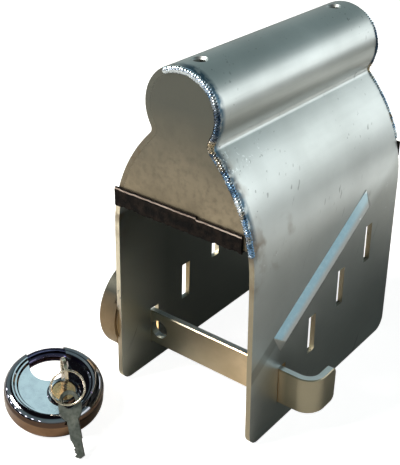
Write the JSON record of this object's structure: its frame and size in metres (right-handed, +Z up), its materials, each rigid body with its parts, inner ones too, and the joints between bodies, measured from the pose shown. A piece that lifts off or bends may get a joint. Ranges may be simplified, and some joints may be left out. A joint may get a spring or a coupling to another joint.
{
  "type": "trailer coupling lock",
  "caption": "Folded steel box lock that drops over a trailer coupling, with a stepped crossbar held by a round keyed padlock.",
  "frame": {"origin": "on the ground, midway between the side panels and midway between their front and rear edges", "axes": "+X to the hooked end of the crossbar, +Y to the rear, +Z up towards the round head"},
  "size_m": [0.2066, 0.2976, 0.273],
  "materials": {
    "zinc_plate": "bright zinc plated, satin",
    "weld_steel": "zinc plated weld bead with heat tint",
    "rubber": "matt black-brown rubber",
    "bar_zinc": "bright zinc plated bar",
    "polished_steel": "polished stainless steel",
    "core_steel": "plain machined steel",
    "brass": "turned brass",
    "gear_steel": "hardened steel",
    "key_nickel": "nickel-plated brass",
    "key_dark": "dark nickel-plated brass"
  },
  "bodies": {
    "housing": {"shell": "zinc_plate", "front_plate": "zinc_plate", "rear_plate": "zinc_plate", "front_bead": "weld_steel", "rear_bead": "weld_steel", "front_trim": "rubber", "rear_trim": "rubber", "guard_ring": "zinc_plate", "ring_weld": "weld_steel"},
    "crossbar": {"crossbar": "bar_zinc"},
    "padlock": {"lock_back": "polished_steel", "lock_front": "polished_steel", "lock_core": "core_steel", "lock_cylinder": "brass", "keyway_collar": "polished_steel", "cylinder_screw": "gear_steel"},
    "plug": {"plug": "brass", "plug_wafers": "brass", "plug_pinion": "gear_steel", "plug_clip": "gear_steel", "key": "key_nickel"},
    "shackle": {"shackle": "polished_steel", "drive_sector": "gear_steel", "drive_rivets": "gear_steel"},
    "spare_key": {"split_ring": "key_nickel", "spare_key": "key_dark"}
  },
  "joints": [
    {"name": "crossbar_slide", "type": "slide", "parent": "housing", "child": "crossbar", "axis": [1, 0, 0], "range_m": [-0.021, 0.12]},
    {"name": "padlock_lift", "type": "slide", "parent": "housing", "child": "padlock", "axis": [0, 0, 1], "range_m": [0, 0.08]},
    {"name": "key_turn", "type": "hinge", "parent": "padlock", "child": "plug", "pos_m": [-0.06467, -0.15849, 0.01844], "axis": [-0.2314, 0.1336, -0.9636], "range_deg": [0, 180]},
    {"name": "shackle_turn", "type": "hinge", "parent": "padlock", "child": "shackle", "pos_m": [-0.07487, -0.15817, 0.02301], "axis": [-0.2314, 0.1336, -0.9636], "range_deg": [0, 76]},
    {"name": "spare_swing", "type": "hinge", "parent": "plug", "child": "spare_key", "pos_m": [-0.05639, -0.16328, 0.05294], "axis": [-0.5288, -0.8487, 0.0093], "range_deg": [0, 61]}
  ],
  "couplings": [
    {"joint": "shackle_turn", "follows": "key_turn", "ratio": 0.42105},
    {"joint": "spare_swing", "follows": "key_turn", "ratio": 0.33333}
  ]
}
